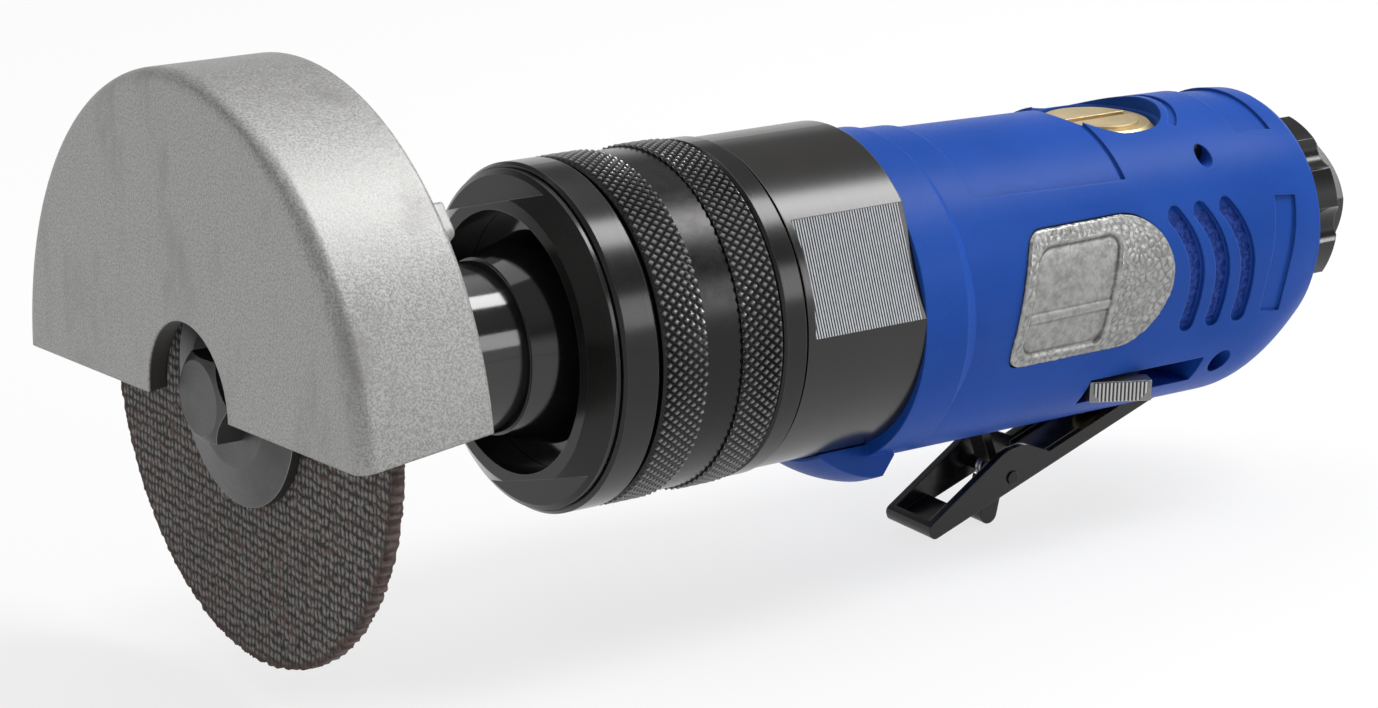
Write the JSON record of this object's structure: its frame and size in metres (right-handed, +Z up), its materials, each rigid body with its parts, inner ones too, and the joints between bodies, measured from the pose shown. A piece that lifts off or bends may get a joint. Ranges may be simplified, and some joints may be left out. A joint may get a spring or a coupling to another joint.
{
  "type": "pneumatic cut-off tool",
  "caption": "Hand-held in-line air cut-off tool: thin abrasive wheel under a die-cast swivel guard, knurled lock ring, black barrel, blue grip with throttle lever, safety catch and reverse tab",
  "frame": {"origin": "centre of the air inlet at the rear face of the inlet bushing", "axes": "+X along the tool axis out of the air inlet, the cutting wheel at the -X end; +Z up, away from the throttle lever; the badge side faces -Y"},
  "size_m": [0.2035, 0.0916, 0.0861],
  "materials": {
    "cast_aluminium": "blasted die casting",
    "abrasive": "bonded abrasive with woven mesh",
    "grey_steel": "satin dark grey",
    "black_steel": "glossy black oxide",
    "lever_steel": "gloss black",
    "bright_steel": "ground",
    "grey_lever": "grey, serrated",
    "bronze": "sintered bronze",
    "brass": "turned",
    "rubber": "matte",
    "vane_composite": "composite",
    "blue_polymer": "satin moulded",
    "cast_badge": "cast with pebbled ground"
  },
  "bodies": {
    "housing": {"motor_housing": "black_steel", "swivel_collar": "black_steel", "front_nut": "black_steel", "stop_ring": "black_steel", "motor_circlip": "black_steel", "front_end_plate": "bright_steel", "front_bearing_outer_ring": "bright_steel", "motor_cylinder": "bright_steel", "rear_end_plate": "bright_steel", "rear_bearing_outer_ring": "bright_steel", "plate_dowels": "bright_steel", "housing_gasket": "rubber", "grip_housing": "blue_polymer", "badge_plate": "cast_badge", "retaining_pin": "bright_steel", "lever_pin": "bright_steel", "inlet_bushing": "black_steel", "inlet_screen": "brass", "inlet_seal": "rubber"},
    "spindle_group": {"cutting_wheel": "abrasive", "inner_flange": "grey_steel", "outer_flange": "grey_steel", "arbor_screw": "grey_steel", "spindle": "bright_steel", "rotor": "bright_steel", "rotor_vanes": "vane_composite", "front_bearing_inner_ring": "bright_steel", "front_bearing_balls": "bright_steel", "rear_bearing_inner_ring": "bright_steel", "rear_bearing_balls": "bright_steel"},
    "guard_group": {"guard": "cast_aluminium", "guard_set_screws": "black_steel", "neck_sleeve": "black_steel", "neck_bush": "bronze"},
    "lock_ring_body": {"lock_ring": "black_steel"},
    "lever_group": {"throttle_lever": "lever_steel", "catch_pin": "bright_steel"},
    "catch_group": {"safety_catch": "lever_steel", "catch_spring": "bright_steel"},
    "stem_group": {"throttle_stem": "brass", "throttle_seal": "rubber"},
    "reverse_valve": {"reverse_sleeve": "brass", "valve_cap": "brass", "sleeve_o_rings": "rubber", "reverse_lever": "grey_lever", "reverse_lever_screw": "bright_steel", "throttle_spring": "bright_steel"},
    "deflector_body": {"exhaust_deflector": "black_steel"}
  },
  "joints": [
    {"name": "spindle_spin", "type": "hinge", "parent": "housing", "child": "spindle_group", "pos_m": [-0.1527, 0, 0], "axis": [1, 0, 0], "continuous": true},
    {"name": "guard_swivel", "type": "hinge", "parent": "housing", "child": "guard_group", "pos_m": [-0.1527, 0, 0], "axis": [1, 0, 0], "range_deg": [-180, 180]},
    {"name": "lock_ring_turn", "type": "hinge", "parent": "housing", "child": "lock_ring_body", "pos_m": [-0.1337, 0, 0], "axis": [1, 0, 0], "range_deg": [-10, 110]},
    {"name": "throttle_squeeze", "type": "hinge", "parent": "housing", "child": "lever_group", "pos_m": [-0.0337, 0, -0.018], "axis": [0, 1, 0], "range_deg": [0, 11], "stiffness_Nm_per_rad": 1.5, "springref_deg": -11.46},
    {"name": "catch_swing", "type": "hinge", "parent": "lever_group", "child": "catch_group", "pos_m": [-0.06489, 0, -0.0345], "axis": [0, 1, 0], "range_deg": [0, 56]},
    {"name": "throttle_stem_lift", "type": "slide", "parent": "housing", "child": "stem_group", "axis": [0, 0, 1], "range_m": [0, 0.003], "deforming": ["throttle_spring"]},
    {"name": "reverse_turn", "type": "hinge", "parent": "housing", "child": "reverse_valve", "pos_m": [-0.047, 0, 0], "axis": [0, 0, 1], "range_deg": [0, 36]},
    {"name": "deflector_turn", "type": "hinge", "parent": "housing", "child": "deflector_body", "pos_m": [-0.0127, 0, 0], "axis": [1, 0, 0], "range_deg": [-180, 180]}
  ],
  "couplings": [
    {"joint": "catch_swing", "follows": "throttle_squeeze", "ratio": 5},
    {"joint": "throttle_stem_lift", "follows": "throttle_squeeze", "m_per_rad": 0.0153}
  ]
}
